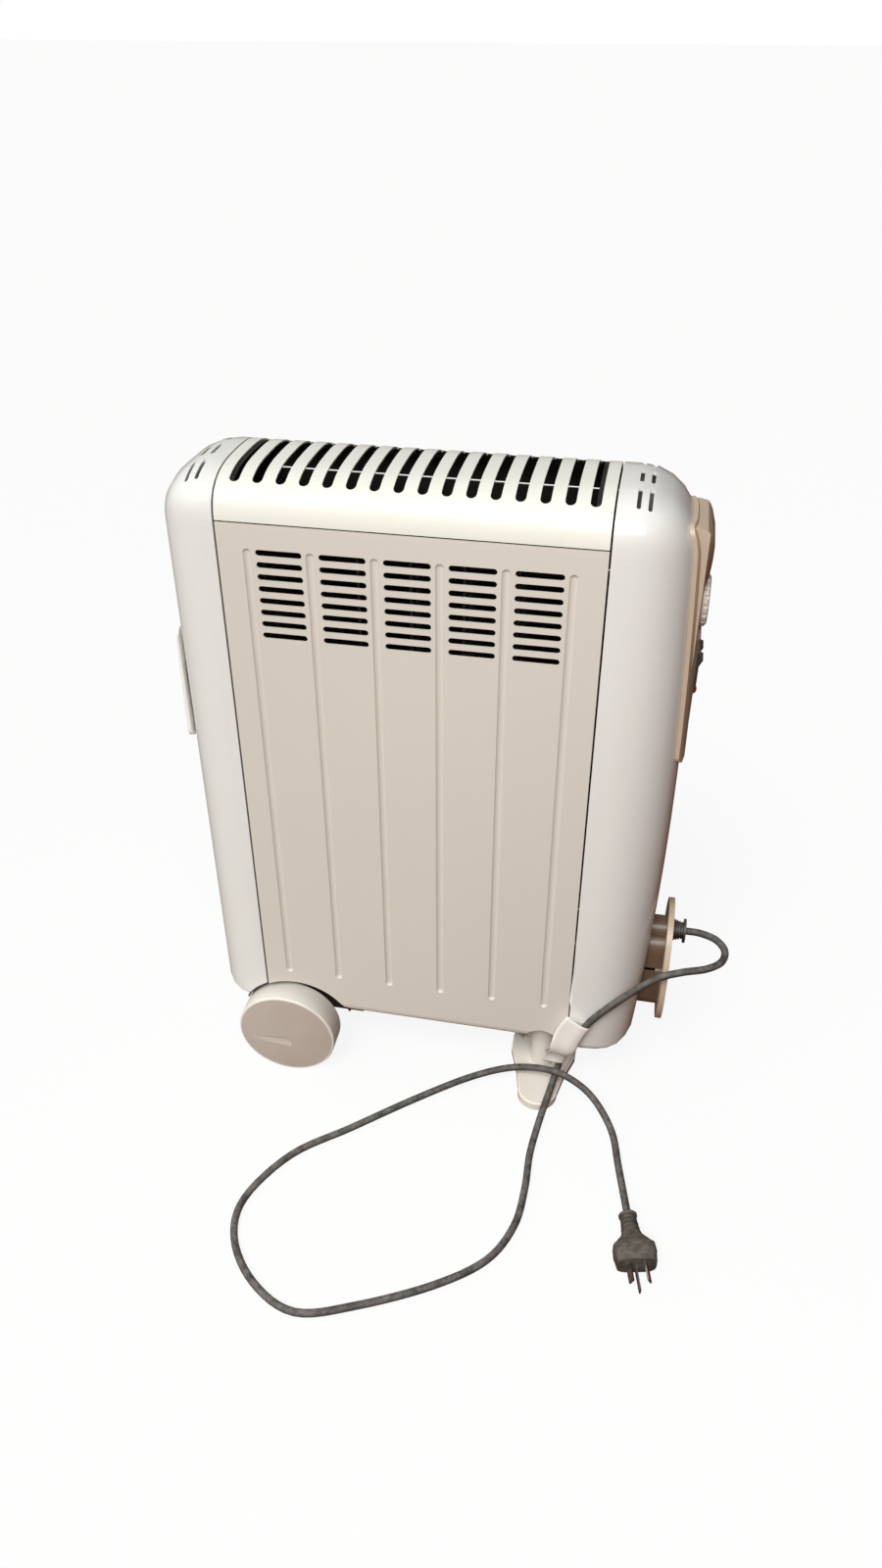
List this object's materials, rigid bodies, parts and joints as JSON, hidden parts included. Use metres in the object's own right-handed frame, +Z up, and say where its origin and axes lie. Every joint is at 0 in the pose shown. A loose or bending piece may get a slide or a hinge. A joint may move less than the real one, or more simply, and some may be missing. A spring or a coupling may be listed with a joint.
{
  "type": "portable electric heater",
  "caption": "Tall cased oil-filled electric radiator on wheels and a cross foot, with end controls, carrying grips, cord wrap and mains cord.",
  "frame": {"origin": "on the floor under the middle of the heater's bounding box, cord left out", "axes": "+X along the heater towards the control end, +Y towards the rear panel, +Z up"},
  "size_m": [0.5111, 0.434, 0.64],
  "materials": {
    "warm_white_steel": "semi-gloss enamel, faint dust and scuffs",
    "grille_steel": "semi-gloss enamel",
    "cap_white": "glossy moulding",
    "grip_white": "glossy moulding",
    "beige_plastic": "satin moulding",
    "wheel_plastic": "satin moulding, scuffed",
    "knob_plastic": "satin moulding",
    "dark_plastic": "satin moulding",
    "rocker_plastic": "glossy moulding",
    "lens_plastic": "clear moulding",
    "pale_plastic": "heat-resisting moulding",
    "zinc_steel": "zinc-plated sheet",
    "dark_steel": "black enamel",
    "arch_plastic": "matt moulding",
    "bright_steel": "bright zinc",
    "radiator_steel": "enamel",
    "brass_fitting": "machined",
    "sheath_steel": "drawn tube",
    "cord_rubber": "matt, dusty",
    "pad_rubber": "matt",
    "tag_paper": "bare yellowed label stock",
    "lead_sleeve": "silicone sleeve"
  },
  "bodies": {
    "heater_base": {"front_panel": "warm_white_steel", "rear_panel": "warm_white_steel", "top_grille": "grille_steel", "left_end_cap": "cap_white", "right_end_cap": "cap_white", "left_bulkhead": "zinc_steel", "right_bulkhead": "zinc_steel", "base_tray": "zinc_steel", "heat_shield": "zinc_steel", "front_wheel_arch": "arch_plastic", "rear_wheel_arch": "arch_plastic", "left_grip": "grip_white", "control_plate": "beige_plastic", "control_console": "beige_plastic", "thermostat_body": "pale_plastic", "front_switch": "dark_plastic", "rear_switch": "dark_plastic", "pilot_lens": "lens_plastic", "lamp_holder": "pale_plastic", "control_bracket": "zinc_steel", "cord_hub": "beige_plastic", "cord_flange": "beige_plastic", "strain_relief": "dark_plastic", "power_cord": "cord_rubber", "cord_tag": "tag_paper", "plug_body": "cord_rubber", "plug_pins": "brass_fitting", "cord_clamp": "dark_plastic", "terminal_block": "pale_plastic", "thermal_cutout": "pale_plastic", "wiring": "lead_sleeve", "axle": "bright_steel", "axle_bracket": "dark_steel", "axle_clips": "bright_steel", "foot": "wheel_plastic", "foot_pads": "pad_rubber", "foot_bracket": "dark_steel", "header_plugs": "radiator_steel", "heating_element": "sheath_steel", "element_flange": "brass_fitting", "oil_filler_plug": "brass_fitting", "radiator_saddles": "zinc_steel", "cap_screws": "bright_steel", "foot_screws": "bright_steel", "fin_1": "radiator_steel", "fin_2": "radiator_steel", "fin_3": "radiator_steel", "fin_4": "radiator_steel", "fin_5": "radiator_steel", "fin_6": "radiator_steel", "fin_7": "radiator_steel"},
    "front_roller": {"wheel_front": "wheel_plastic", "wheel_cover_front": "wheel_plastic"},
    "rear_roller": {"wheel_rear": "wheel_plastic", "wheel_cover_rear": "wheel_plastic"},
    "thermostat_dial": {"thermostat_knob": "knob_plastic", "thermostat_shaft": "bright_steel"},
    "front_power_rocker": {"front_rocker": "rocker_plastic"},
    "rear_power_rocker": {"rear_rocker": "rocker_plastic"}
  },
  "joints": [
    {"name": "front_wheel_turn", "type": "hinge", "parent": "heater_base", "child": "front_roller", "pos_m": [-0.1485, -0.0673, 0.051], "axis": [0, 1, 0], "continuous": true},
    {"name": "rear_wheel_turn", "type": "hinge", "parent": "heater_base", "child": "rear_roller", "pos_m": [-0.1485, 0.0673, 0.051], "axis": [0, 1, 0], "continuous": true},
    {"name": "thermostat_turn", "type": "hinge", "parent": "heater_base", "child": "thermostat_dial", "pos_m": [0.2135, 0, 0.542], "axis": [1, 0, 0], "range_deg": [0, 270]},
    {"name": "front_rocker_tilt", "type": "hinge", "parent": "heater_base", "child": "front_power_rocker", "pos_m": [0.2123, -0.011, 0.488], "axis": [0, 1, 0], "range_deg": [-16, 0]},
    {"name": "rear_rocker_tilt", "type": "hinge", "parent": "heater_base", "child": "rear_power_rocker", "pos_m": [0.2123, 0.011, 0.488], "axis": [0, 1, 0], "range_deg": [-16, 0]}
  ]
}
